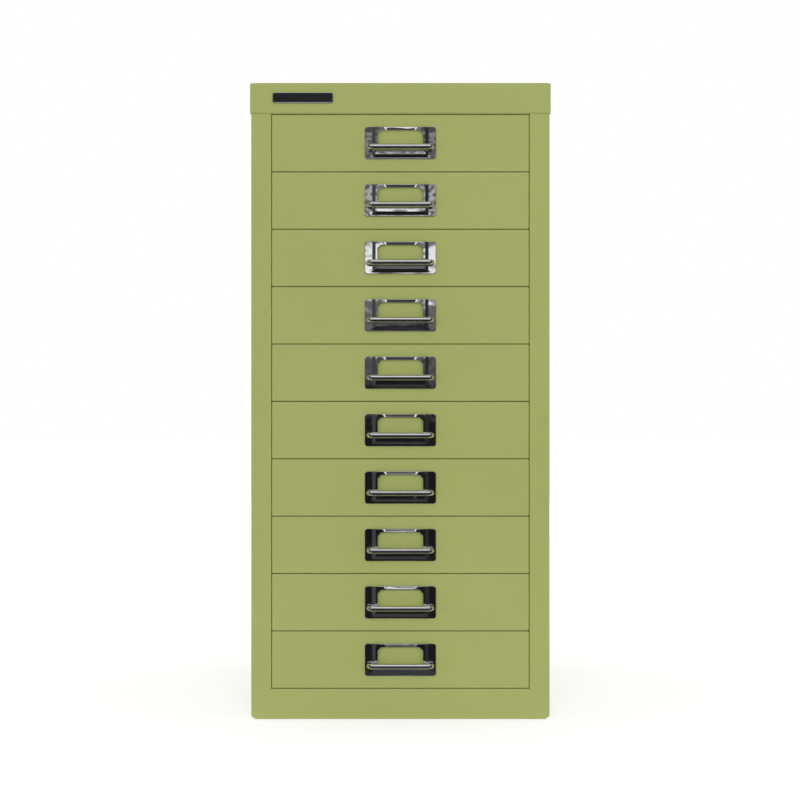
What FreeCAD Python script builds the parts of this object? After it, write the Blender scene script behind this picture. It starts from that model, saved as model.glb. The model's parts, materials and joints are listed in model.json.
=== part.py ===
# Desktop cabinet with ten shallow drawers, in millimetres.
# Z is up, X is to the viewer's right and the drawer fronts face -Y.
# The origin is on the floor, at the centre of the whole object's footprint, pull bars included.
import FreeCAD, Part
import os
import re
import Sketcher

NUMBER_OF_DRAWERS = 10

# Driving sizes, one name each.
DRIVING_SIZES = {
    # Casing
    "cap_width": 279.0,            # over the top cap, which is the widest piece
    "cabinet_depth": 380.0,        # front to back over the top cap
    "cap_skirt": 28.1,             # height of the cap's skirt
    "cap_overhang": 1.1,           # how far the cap stands out past the casing, all round
    "cap_corner": 3.0,             # radius of the cap's upright corners
    "cap_lower_edge": 0.6,         # rounding of the skirt's lower edge
    "cap_reveal": 0.85,            # strip of the top rail seen under the skirt
    "casing_sheet": 0.9,           # steel thickness of the casing
    "bend_inside": 0.9,            # inside radius of the casing's folds
    "stile_width": 18.8,           # face of the front stile
    "stile_return": 14.0,          # flange that runs back from the stile and from the top rail
    "rear_flange": 14.0,           # flange that holds the back panel
    "top_flange": 12.0,            # flange under the cap
    "bottom_flange": 14.0,         # flange that carries the feet
    "bevel_width": 4.2,            # bevelled lower edge of the side
    "bevel_rise": 3.1,
    "mitre_slit": 2.0,             # corner relief between stile and bottom rail
    "slit_width": 0.3,
    "rail_height": 28.55,          # top of the bottom rail above the floor
    "rail_lip": 12.0,              # lip folded back under the bottom rail
    "base_side_flange": 18.0,      # flange of the base inside each side
    "back_clearance": 0.2,         # back panel to side panel
    # Feet
    "foot_drop": 0.4,              # casing's lower edge above the floor
    "foot_radius": 6.0,
    "foot_neck_radius": 3.0,
    "foot_head_radius": 4.4,
    "foot_head_rise": 1.6,
    "foot_hole_gap": 0.1,          # radial
    "foot_inset": 26.0,            # foot centre from the front and from the rear of the casing
    # Drawers
    "drawer_pitch": 53.2,          # from one drawer to the next
    "drawer_gap": 0.5,             # between two drawer fronts
    "front_side_gap": 0.4,         # between a drawer front and the stile
    "front_sheet": 0.9,            # steel thickness of the front pan
    "front_box_depth": 14.0,       # depth of the front pan
    "front_bend": 1.1,             # outside radius of the front pan's folds
    "tray_sheet": 0.8,             # steel thickness of the tray
    "tray_bend": 1.6,              # outside radius of the tray's lower folds
    "tray_side_gap": 1.3,          # between the tray's flange and the opening
    "tray_flange": 9.5,            # width of the hemmed top flange
    "tray_floor_rise": 3.0,        # tray floor above the drawer's lower line
    "tray_headroom": 8.2,          # tray top below the drawer's upper line
    "tray_rear_gap": 20.0,         # tray to back panel when the drawer is shut
    "tray_back_drop": 9.0,         # back wall lower than the tray's sides
    "drawer_travel": 290.0,        # how far a drawer slides out before its lugs meet the stops
    "lug_length": 8.0,
    "lug_rise": 3.0,
    "stop_clearance": 0.3,         # left between lug and stop at both ends of the travel
    # Runners
    "runner_sheet": 0.9,
    "runner_set_back": 1.0,        # runner's front end behind the stile's return
    "runner_under_gap": 0.1,       # shelf under the tray's flange
    "runner_over_gap": 0.6,        # guide over the tray's flange
    "runner_wall_gap": 1.5,        # runner's inner edge to the tray's side wall
    "runner_web_drop": 10.0,       # web carried down below the shelf, for the weld
    "stop_tab_length": 8.0,
    # Label plate and pull bar
    "plate_width": 66.0,
    "plate_height": 30.0,
    "plate_sheet": 0.8,
    "plate_corner": 2.4,
    "card_slot": 1.4,              # room for the label behind the raised middle
    "card_panel_width": 52.0,      # raised middle of the plate, over its sloping sides
    "card_panel_slope": 3.0,       # width of the sloping sides
    "card_panel_foot": 2.4,        # flat strip left under the raised middle
    "card_panel_bend": 0.9,        # outside radius where the slopes meet the raised face
    "card_side_inset": 0.2,        # slot's slopes inside the raised middle's
    "window_width": 41.9,
    "window_top_strip": 3.3,       # strip left above the window
    "window_height": 16.7,
    "window_corner": 3.2,          # cut corners of the window
    "pull_projection": 15.0,       # front of the bar ahead of the drawer front
    "pull_diameter": 5.0,
    "pull_span": 57.8,             # between the centres of the bar's two ends
    "pull_elbow": 4.2,             # bend radius on the bar's centre line
    "pull_drop": 4.7,              # bar's centre below the plate's centre
    "spigot_radius": 2.0,
    "spigot_hole_gap": 0.1,        # radial
    "spigot_past_nut": 0.8,
    "nut_radius": 4.5,
    "nut_collar_radius": 3.2,
    "nut_sheet": 0.6,
    "nut_rise": 1.6,
    "nut_bore_gap": 0.05,          # radial
    # Blank badge plate
    "badge_width": 56.0,
    "badge_height": 10.0,
    "badge_sheet": 1.2,
    "badge_corner": 1.6,
    "badge_from_edge": 21.1,       # from the cap's left edge
    "badge_from_top": 9.1,         # from the cap's top
}

# Places worked out from the driving sizes. Pieces are drawn with y = 0 at the casing's front face.
FRONT_FACE_Y = "((pull_projection + cap_overhang - cabinet_depth) / 2)"
CASING_DEPTH = "(cabinet_depth - 2 * cap_overhang)"
CASING_HALF = "(cap_width / 2 - cap_overhang)"
OPENING_HALF = "(cap_width / 2 - cap_overhang - stile_width)"
CASING_INSIDE_HALF = "(cap_width / 2 - cap_overhang - casing_sheet)"
FIRST_LINE = "(rail_height + drawer_gap / 2)"
LAST_LINE = f"({FIRST_LINE} + {NUMBER_OF_DRAWERS} * drawer_pitch)"
OPENING_TOP = f"({LAST_LINE} + drawer_gap / 2)"
SKIRT_BOTTOM = f"({OPENING_TOP} + cap_reveal)"
CABINET_TOP = f"({SKIRT_BOTTOM} + cap_skirt)"
CASING_TOP = f"({CABINET_TOP} - casing_sheet)"
BACK_FACE = f"({CASING_DEPTH} - 2 * casing_sheet)"      # front face of the back panel
FOLD_FRONT = "(casing_sheet + bend_inside)"             # where the side panel's front fold ends
FOLD_REAR = f"({CASING_DEPTH} - casing_sheet - bend_inside)"
PANEL_HALF = f"({CASING_INSIDE_HALF} - bend_inside - back_clearance)"
BEVEL_TOP = "(foot_drop + bevel_rise)"
BEVEL_INNER = f"({CASING_HALF} - bevel_width)"
FOOT_X = f"({BEVEL_INNER} - bottom_flange / 2)"

FRONT_HALF = f"({OPENING_HALF} - front_side_gap)"
TRAY_FLANGE_HALF = f"({OPENING_HALF} - tray_side_gap)"
TRAY_HALF = f"({TRAY_FLANGE_HALF} - tray_flange)"
TRAY_INSIDE_HALF = f"({TRAY_HALF} - tray_sheet)"
TRAY_TOP = "(drawer_pitch - tray_headroom)"
TRAY_REAR = f"({BACK_FACE} - tray_rear_gap)"
TRAY_FLANGE_UNDER = f"({TRAY_TOP} - 2 * tray_sheet)"
RUNNER_FRONT = "(stile_return + runner_set_back)"
RUNNER_INNER = f"({TRAY_HALF} + runner_wall_gap)"
SHELF_TOP = f"({TRAY_FLANGE_UNDER} - runner_under_gap)"
GUIDE_UNDER = f"({TRAY_TOP} + runner_over_gap)"
LUG_FRONT = f"({RUNNER_FRONT} + stop_tab_length + drawer_travel + stop_clearance)"
PLATE_MIDDLE = "(drawer_pitch / 2)"
PULL_Z = f"({PLATE_MIDDLE} - pull_drop)"
PULL_Y = "(pull_diameter / 2 - pull_projection)"
NUT_REAR = "(front_sheet + nut_rise)"

doc = FreeCAD.newDocument("cabinet")
sizes = doc.addObject("Spreadsheet::Sheet", "Sizes")
for row, (name, value) in enumerate(DRIVING_SIZES.items(), start=1):
    sizes.set(f"A{row}", name)
    sizes.set(f"B{row}", str(value))
    sizes.setAlias(f"B{row}", name)
doc.recompute()

SIZE_NAMES = re.compile(r"\b(" + "|".join(DRIVING_SIZES) + r")\b")
NODES = []


def bind(expression):
    """Write each size's name as a reference to its cell."""
    return SIZE_NAMES.sub(r"Sizes.\1", str(expression))


def number(expression):
    return float(sizes.evalExpression(bind(expression)))


def origin_feature(body, role):
    return next(item for item in body.Origin.OriginFeatures if item.Role == role)


def new_body(label, height="0"):
    """A body drawn from the casing's front face, standing at the given height."""
    body = doc.addObject("PartDesign::Body", label)
    body.Label = label
    body.setExpression("Placement.Base.y", bind(FRONT_FACE_Y))
    body.setExpression("Placement.Base.z", bind(height))
    NODES.append(body)
    return body


def new_sketch(body, name, plane, offset="0", across="0", up="0"):
    """A sketch on one of the body's own planes, moved along its normal (+Z, -Y or +X) and in it."""
    sketch = body.newObject("Sketcher::SketchObject", f"{body.Name}_{name}")
    sketch.AttachmentSupport = [(origin_feature(body, f"{plane}_Plane"), "")]
    sketch.MapMode = "FlatFace"
    sketch.setExpression("AttachmentOffset.Base.x", bind(across))
    sketch.setExpression("AttachmentOffset.Base.y", bind(up))
    sketch.setExpression("AttachmentOffset.Base.z", bind(offset))
    return sketch


def pin_point(sketch, geometry, position, x, y):
    for kind, value in (("DistanceX", x), ("DistanceY", y)):
        index = sketch.addConstraint(
            Sketcher.Constraint(kind, -1, 1, geometry, position, number(value)))
        sketch.setExpression(f"Constraints[{index}]", bind(value))


def add_polygon(sketch, corners):
    """A closed outline through corners, each held by its two distances from the origin."""
    first = sketch.GeometryCount
    count = len(corners)
    points = [FreeCAD.Vector(number(x), number(y), 0) for x, y in corners]
    for i in range(count):
        sketch.addGeometry(Part.LineSegment(points[i], points[(i + 1) % count]), False)
    for i in range(count):
        sketch.addConstraint(Sketcher.Constraint("Coincident", first + i, 2, first + (i + 1) % count, 1))
    for i, (x, y) in enumerate(corners):
        pin_point(sketch, first + i, 1, x, y)


def add_rectangle(sketch, left, right, low, high):
    add_polygon(sketch, [(left, low), (right, low), (right, high), (left, high)])


def add_circle(sketch, x, y, radius):
    centre = FreeCAD.Vector(number(x), number(y), 0)
    circle = sketch.addGeometry(Part.Circle(centre, FreeCAD.Vector(0, 0, 1), number(radius)), False)
    pin_point(sketch, circle, 3, x, y)
    index = sketch.addConstraint(Sketcher.Constraint("Radius", circle, number(radius)))
    sketch.setExpression(f"Constraints[{index}]", bind(radius))


def extrude(body, kind, sketch, name, length, reverse=False):
    feature = body.newObject(f"PartDesign::{kind}", f"{body.Name}_{name}")
    feature.Profile = sketch
    feature.Reversed = reverse
    feature.setExpression("Length", bind(length))
    sketch.Visibility = False
    return feature


def pad(body, sketch, name, length, reverse=False):
    return extrude(body, "Pad", sketch, name, length, reverse)


def pocket(body, sketch, name, length, reverse=False):
    return extrude(body, "Pocket", sketch, name, length, reverse)


def revolve(body, sketch, name, angle=360.0, reverse=False):
    """Turn a sketch about its own upright axis."""
    feature = body.newObject("PartDesign::Revolution", f"{body.Name}_{name}")
    feature.Profile = sketch
    feature.ReferenceAxis = (sketch, ["V_Axis"])
    feature.Angle = angle
    feature.Reversed = reverse
    sketch.Visibility = False
    return feature


def straight_edges(shape, above=None, **place):
    """Names of the straight edges both of whose ends lie at the given x, y or z."""
    found = []
    for index, edge in enumerate(shape.Edges, start=1):
        if edge.Curve.TypeId != "Part::GeomLine":
            continue
        ends = [vertex.Point for vertex in edge.Vertexes]
        if above is not None and min(end.z for end in ends) < number(above):
            continue
        wanted = {axis: number(value) for axis, value in place.items()}
        if all(abs(getattr(end, axis) - value) < 0.01 for end in ends for axis, value in wanted.items()):
            found.append(f"Edge{index}")
    return found


def round_edges(body, name, radius, *places):
    """Round the straight edges that lie at the given places."""
    doc.recompute()
    base = body.Tip
    edges = []
    for place in places:
        found = straight_edges(base.Shape, **place)
        if not found:
            raise ValueError(f"{body.Name} {name}: no edge at {place}")
        edges += [edge for edge in found if edge not in edges]
    fillet = body.newObject("PartDesign::Fillet", f"{body.Name}_{name}")
    fillet.Base = (base, edges)
    fillet.setExpression("Radius", bind(radius))
    return fillet


def mirror_sides(body, name, features):
    """Repeat features on the other side of the middle plane."""
    mirrored = body.newObject("PartDesign::Mirrored", f"{body.Name}_{name}")
    mirrored.Originals = features
    mirrored.MirrorPlane = (origin_feature(body, "YZ_Plane"), [""])
    body.Tip = mirrored
    return mirrored


# Casing


def build_side_panel(label, side):
    """Folded side: stile in front, flanges at the rear, top and bottom, bevelled lower edge."""
    body = new_body(label)
    outer = f"{side} * {CASING_HALF}"
    skin = f"{side} * {CASING_INSIDE_HALF}"
    stile_edge = f"{side} * {OPENING_HALF}"
    stile_edge_inside = f"{side} * ({OPENING_HALF} + casing_sheet)"
    rear_edge = f"{side} * ({CASING_HALF} - rear_flange)"
    height = f"{CASING_TOP} - foot_drop"

    plan = new_sketch(body, "plan", "XY", "foot_drop")
    add_polygon(plan, [
        (stile_edge, "0"), (outer, "0"), (outer, CASING_DEPTH), (rear_edge, CASING_DEPTH),
        (rear_edge, f"{CASING_DEPTH} - casing_sheet"), (skin, f"{CASING_DEPTH} - casing_sheet"),
        (skin, "casing_sheet"), (stile_edge, "casing_sheet")])
    pad(body, plan, "wall", height)

    stile = new_sketch(body, "stile_return_plan", "XY", "rail_height")
    add_rectangle(stile, stile_edge, stile_edge_inside, "casing_sheet", "stile_return")
    pad(body, stile, "stile_return", f"{CASING_TOP} - rail_height")

    top = new_sketch(body, "top_flange_plan", "XY", CASING_TOP)
    add_rectangle(top, f"{side} * ({CASING_INSIDE_HALF} - top_flange)", skin,
                  "stile_return", f"{CASING_DEPTH} - rear_flange")
    pad(body, top, "top_flange", "casing_sheet", reverse=True)

    corner = new_sketch(body, "bevel_cut_face", "XZ")
    add_polygon(corner, [(f"{side} * {BEVEL_INNER}", "foot_drop"), (outer, "foot_drop"), (outer, BEVEL_TOP)])
    pocket(body, corner, "bevel_cut", CASING_DEPTH)

    # The bevelled strip and the flange that carries the feet, seen from the front.
    fold = new_sketch(body, "bottom_fold_face", "XZ")
    flange_edge = f"{side} * ({BEVEL_INNER} - bottom_flange)"
    add_polygon(fold, [
        (outer, BEVEL_TOP), (f"{side} * {BEVEL_INNER}", "foot_drop"), (flange_edge, "foot_drop"),
        (flange_edge, "foot_drop + casing_sheet"),
        (f"{side} * ({BEVEL_INNER} - casing_sheet / 3)", "foot_drop + casing_sheet"),
        (skin, f"{BEVEL_TOP} + casing_sheet / 2")])
    pad(body, fold, "bottom_fold", CASING_DEPTH, reverse=True)

    # Corner relief where the stile's return begins: the short slanting slit beside the bottom rail.
    slit = new_sketch(body, "slit_face", "XZ")
    half = "slit_width / 2"
    add_polygon(slit, [
        (f"{side} * ({OPENING_HALF} - slit_width)", f"rail_height + slit_width + {half}"),
        (f"{side} * ({OPENING_HALF} - slit_width)", f"rail_height + slit_width - {half}"),
        (f"{side} * ({OPENING_HALF} + mitre_slit)", f"rail_height - mitre_slit - {half}"),
        (f"{side} * ({OPENING_HALF} + mitre_slit)", f"rail_height - mitre_slit + {half}")])
    pocket(body, slit, "slit", "casing_sheet")

    holes = new_sketch(body, "foot_holes_plan", "XY", "foot_drop + casing_sheet")
    for y in ("foot_inset", f"{CASING_DEPTH} - foot_inset"):
        add_circle(holes, f"{side} * {FOOT_X}", y, "foot_neck_radius + foot_hole_gap")
    pocket(body, holes, "foot_holes", "casing_sheet")

    round_edges(body, "outer_folds", "bend_inside + casing_sheet",
                {"x": outer, "y": "0"}, {"x": outer, "y": CASING_DEPTH})
    round_edges(body, "inner_folds", "bend_inside",
                {"x": skin, "y": "casing_sheet"}, {"x": skin, "y": f"{CASING_DEPTH} - casing_sheet"})
    round_edges(body, "stile_fold", "bend_inside", {"x": stile_edge, "y": "0", "above": "rail_height"})
    return body


def build_top_cap():
    """Shallow lid with a skirt all round."""
    body = new_body("top_cap")
    half = "cap_width / 2"
    front = "-cap_overhang"
    rear = f"{CASING_DEPTH} + cap_overhang"
    outline = new_sketch(body, "plan", "XY", CABINET_TOP)
    add_rectangle(outline, f"-{half}", half, front, rear)
    pad(body, outline, "block", "cap_skirt", reverse=True)
    round_edges(body, "corners", "cap_corner", {"x": f"-{half}", "y": front}, {"x": half, "y": front},
                {"x": f"-{half}", "y": rear}, {"x": half, "y": rear})

    inside = new_sketch(body, "inside_plan", "XY", SKIRT_BOTTOM)
    inner_half = f"({half} - casing_sheet)"
    inner_front = f"({front} + casing_sheet)"
    inner_rear = f"({rear} - casing_sheet)"
    add_rectangle(inside, f"-{inner_half}", inner_half, inner_front, inner_rear)
    pocket(body, inside, "hollow", "cap_skirt - casing_sheet", reverse=True)
    round_edges(body, "inside_corners", "cap_corner - casing_sheet",
                {"x": f"-{inner_half}", "y": inner_front}, {"x": inner_half, "y": inner_front},
                {"x": f"-{inner_half}", "y": inner_rear}, {"x": inner_half, "y": inner_rear})

    round_edges(body, "top_folds", "bend_inside + casing_sheet",
                {"z": CABINET_TOP, "x": half}, {"z": CABINET_TOP, "x": f"-{half}"},
                {"z": CABINET_TOP, "y": front}, {"z": CABINET_TOP, "y": rear})
    round_edges(body, "lower_edge", "cap_lower_edge",
                {"z": SKIRT_BOTTOM, "x": half}, {"z": SKIRT_BOTTOM, "x": f"-{half}"},
                {"z": SKIRT_BOTTOM, "y": front}, {"z": SKIRT_BOTTOM, "y": rear})
    return body


def build_back_panel():
    body = new_body("back_panel")
    face = new_sketch(body, "face", "XZ", f"-{BACK_FACE}")
    add_rectangle(face, f"-{PANEL_HALF}", PANEL_HALF, "rail_height", CASING_TOP)
    pad(body, face, "sheet", "casing_sheet", reverse=True)
    return body


def build_base_pan():
    """Floor of the casing: bottom rail in front, flange at the rear, a flange down each side."""
    body = new_body("base_pan")
    section = new_sketch(body, "section", "YZ", f"-{OPENING_HALF}")
    rear_face = f"{CASING_DEPTH} - casing_sheet"
    add_polygon(section, [
        ("0", "foot_drop"), ("0", "rail_height"), (rear_face, "rail_height"), (rear_face, "foot_drop"),
        (BACK_FACE, "foot_drop"), (BACK_FACE, "rail_height - casing_sheet"),
        ("casing_sheet", "rail_height - casing_sheet"), ("casing_sheet", "foot_drop + casing_sheet"),
        ("rail_lip", "foot_drop + casing_sheet"), ("rail_lip", "foot_drop")])
    pad(body, section, "rail_and_floor", f"2 * {OPENING_HALF}")

    wing = new_sketch(body, "wing_face", "XZ", f"-{FOLD_FRONT}")
    low = "rail_height - base_side_flange"
    add_polygon(wing, [
        (OPENING_HALF, "rail_height - casing_sheet"), (OPENING_HALF, "rail_height"),
        (CASING_INSIDE_HALF, "rail_height"), (CASING_INSIDE_HALF, low),
        (f"{CASING_INSIDE_HALF} - casing_sheet", low),
        (f"{CASING_INSIDE_HALF} - casing_sheet", "rail_height - casing_sheet")])
    side_wing = pad(body, wing, "side_wing", f"{FOLD_REAR} - {FOLD_FRONT}", reverse=True)

    rear_end = new_sketch(body, "rear_end_face", "XZ", f"-{BACK_FACE}")
    add_rectangle(rear_end, OPENING_HALF, PANEL_HALF, f"{BEVEL_TOP} + casing_sheet", "rail_height")
    rear_flange_end = pad(body, rear_end, "rear_flange_end", "casing_sheet", reverse=True)
    doc.recompute()
    mirror_sides(body, "both_sides", [side_wing, rear_flange_end])

    round_edges(body, "rail_folds", "bend_inside",
                {"y": "0", "z": "rail_height"}, {"y": "0", "z": "foot_drop"})
    return body


def build_top_rail():
    """Channel across the front, behind the cap's skirt."""
    body = new_body("top_rail")
    section = new_sketch(body, "section", "YZ", f"-{OPENING_HALF}")
    add_polygon(section, [
        ("0", OPENING_TOP), ("0", CASING_TOP), ("stile_return", CASING_TOP),
        ("stile_return", f"{CASING_TOP} - casing_sheet"), ("casing_sheet", f"{CASING_TOP} - casing_sheet"),
        ("casing_sheet", f"{OPENING_TOP} + casing_sheet"), ("stile_return", f"{OPENING_TOP} + casing_sheet"),
        ("stile_return", OPENING_TOP)])
    pad(body, section, "channel", f"2 * {OPENING_HALF}")
    round_edges(body, "fold", "bend_inside", {"y": "0", "z": OPENING_TOP})
    return body


def build_runners(label, side):
    """One channel for each drawer, with a stop tab in front and a closed rear end."""
    body = new_body(label, FIRST_LINE)
    outer = f"{side} * {CASING_INSIDE_HALF}"
    web = f"{side} * ({CASING_INSIDE_HALF} - runner_sheet)"
    inner = f"{side} * {RUNNER_INNER}"
    shelf_under = f"{SHELF_TOP} - runner_sheet"
    guide_top = f"{GUIDE_UNDER} + runner_sheet"
    section = new_sketch(body, "section", "XZ", f"-{RUNNER_FRONT}")
    add_polygon(section, [
        (outer, f"{shelf_under} - runner_web_drop"), (outer, guide_top), (inner, guide_top),
        (inner, GUIDE_UNDER), (web, GUIDE_UNDER), (web, SHELF_TOP), (inner, SHELF_TOP),
        (inner, shelf_under), (web, shelf_under), (web, f"{shelf_under} - runner_web_drop")])
    channel = pad(body, section, "channel", f"{FOLD_REAR} - {RUNNER_FRONT}", reverse=True)

    stop = new_sketch(body, "front_stop_plan", "XY", GUIDE_UNDER)
    add_rectangle(stop, f"{side} * {TRAY_INSIDE_HALF}", inner,
                  RUNNER_FRONT, f"{RUNNER_FRONT} + stop_tab_length")
    front_stop = pad(body, stop, "front_stop", "runner_sheet")

    end = new_sketch(body, "rear_stop_face", "XZ", f"-({TRAY_REAR} + stop_clearance)")
    add_rectangle(end, inner, web, SHELF_TOP, GUIDE_UNDER)
    rear_stop = pad(body, end, "rear_stop", "runner_sheet", reverse=True)

    doc.recompute()
    ladder = body.newObject("PartDesign::LinearPattern", f"{body.Name}_ladder")
    ladder.Originals = [channel, front_stop, rear_stop]
    ladder.Direction = (origin_feature(body, "Z_Axis"), [""])
    ladder.setExpression("Length", bind(f"{NUMBER_OF_DRAWERS - 1} * drawer_pitch"))
    ladder.Occurrences = NUMBER_OF_DRAWERS
    body.Tip = ladder
    return body


def build_feet():
    """Four push-in glides in the bottom flanges: pad, neck through the hole, head above it."""
    body = new_body("feet")
    neck_top = "foot_drop + casing_sheet"
    head_top = f"{neck_top} + foot_head_rise"
    places = [(side, y) for side in (-1, 1) for y in ("foot_inset", f"{CASING_DEPTH} - foot_inset")]
    for count, (side, y) in enumerate(places, start=1):
        profile = new_sketch(body, f"profile_{count}", "XZ", f"-({y})", across=f"{side} * {FOOT_X}")
        add_polygon(profile, [
            ("0", "0"), ("foot_radius", "0"), ("foot_radius", "foot_drop"), ("foot_neck_radius", "foot_drop"),
            ("foot_neck_radius", neck_top), ("foot_head_radius", neck_top), ("foot_neck_radius", head_top),
            ("0", head_top)])
        revolve(body, profile, f"glide_{count}")
    return body


def build_badge_plate():
    """Small blank plate on the cap's skirt."""
    body = new_body("badge_plate")
    left = "badge_from_edge - cap_width / 2"
    right = f"{left} + badge_width"
    low = f"{CABINET_TOP} - badge_from_top - badge_height"
    high = f"{CABINET_TOP} - badge_from_top"
    face = new_sketch(body, "face", "XZ", "cap_overhang")
    add_rectangle(face, left, right, low, high)
    pad(body, face, "plate", "badge_sheet")
    round_edges(body, "corners", "badge_corner", {"x": left, "z": low}, {"x": left, "z": high},
                {"x": right, "z": low}, {"x": right, "z": high})
    return body


# Drawers, each drawn from its lower line


def build_tray(label, line):
    """Folded tray: hemmed top flanges, a closing plate for the front pan, a low back, stop lugs."""
    body = new_body(label, line)
    section = new_sketch(body, "section", "XZ", "-front_box_depth")
    floor_top = "tray_floor_rise + tray_sheet"
    add_polygon(section, [
        (f"-{TRAY_FLANGE_HALF}", TRAY_TOP), (f"-{TRAY_INSIDE_HALF}", TRAY_TOP),
        (f"-{TRAY_INSIDE_HALF}", floor_top), (TRAY_INSIDE_HALF, floor_top),
        (TRAY_INSIDE_HALF, TRAY_TOP), (TRAY_FLANGE_HALF, TRAY_TOP),
        (TRAY_FLANGE_HALF, TRAY_FLANGE_UNDER), (TRAY_HALF, TRAY_FLANGE_UNDER),
        (TRAY_HALF, "tray_floor_rise"), (f"-{TRAY_HALF}", "tray_floor_rise"),
        (f"-{TRAY_HALF}", TRAY_FLANGE_UNDER), (f"-{TRAY_FLANGE_HALF}", TRAY_FLANGE_UNDER)])
    pad(body, section, "trough", f"{TRAY_REAR} - front_box_depth", reverse=True)
    round_edges(body, "floor_folds", "tray_bend",
                {"x": f"-{TRAY_HALF}", "z": "tray_floor_rise"}, {"x": TRAY_HALF, "z": "tray_floor_rise"})
    round_edges(body, "floor_folds_inside", "tray_bend - tray_sheet",
                {"x": f"-{TRAY_INSIDE_HALF}", "z": floor_top}, {"x": TRAY_INSIDE_HALF, "z": floor_top})

    closing = new_sketch(body, "closing_plate_face", "XZ", "-front_box_depth")
    closing_half = f"{FRONT_HALF} - front_sheet"
    add_rectangle(closing, f"-({closing_half})", closing_half,
                  "drawer_gap / 2 + front_sheet", "drawer_pitch - drawer_gap / 2 - front_sheet")
    pad(body, closing, "closing_plate", "tray_sheet")

    back = new_sketch(body, "back_face", "XZ", f"-({TRAY_REAR} - tray_sheet)")
    add_rectangle(back, f"-{TRAY_INSIDE_HALF}", TRAY_INSIDE_HALF, floor_top, f"{TRAY_TOP} - tray_back_drop")
    pad(body, back, "back", "tray_sheet", reverse=True)

    for side, name in ((-1, "left_lug"), (1, "right_lug")):
        lug = new_sketch(body, f"{name}_plan", "XY", TRAY_TOP)
        add_rectangle(lug, f"{side} * {TRAY_INSIDE_HALF}", f"{side} * {TRAY_HALF}",
                      LUG_FRONT, f"{LUG_FRONT} + lug_length")
        pad(body, lug, name, "lug_rise")
    return body


def build_front(label, line):
    """Box-folded front pan with two holes for the pull bar's spigots."""
    body = new_body(label, line)
    low = "drawer_gap / 2"
    high = "drawer_pitch - drawer_gap / 2"
    face = new_sketch(body, "face", "XZ", "-front_box_depth")
    add_rectangle(face, f"-{FRONT_HALF}", FRONT_HALF, low, high)
    pad(body, face, "block", "front_box_depth")
    round_edges(body, "folds", "front_bend",
                {"y": "0", "z": low}, {"y": "0", "z": high},
                {"y": "0", "x": f"-{FRONT_HALF}"}, {"y": "0", "x": FRONT_HALF},
                {"x": f"-{FRONT_HALF}", "z": low}, {"x": f"-{FRONT_HALF}", "z": high},
                {"x": FRONT_HALF, "z": low}, {"x": FRONT_HALF, "z": high})

    inside = new_sketch(body, "inside_face", "XZ", "-front_box_depth")
    inner_half = f"{FRONT_HALF} - front_sheet"
    add_rectangle(inside, f"-({inner_half})", inner_half, f"{low} + front_sheet", f"{high} - front_sheet")
    pocket(body, inside, "hollow", "front_box_depth - front_sheet", reverse=True)

    holes = new_sketch(body, "spigot_holes_face", "XZ")
    for side in (-1, 1):
        add_circle(holes, f"{side} * pull_span / 2", PULL_Z, "spigot_radius + spigot_hole_gap")
    pocket(body, holes, "spigot_holes", "front_sheet")
    return body


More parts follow.
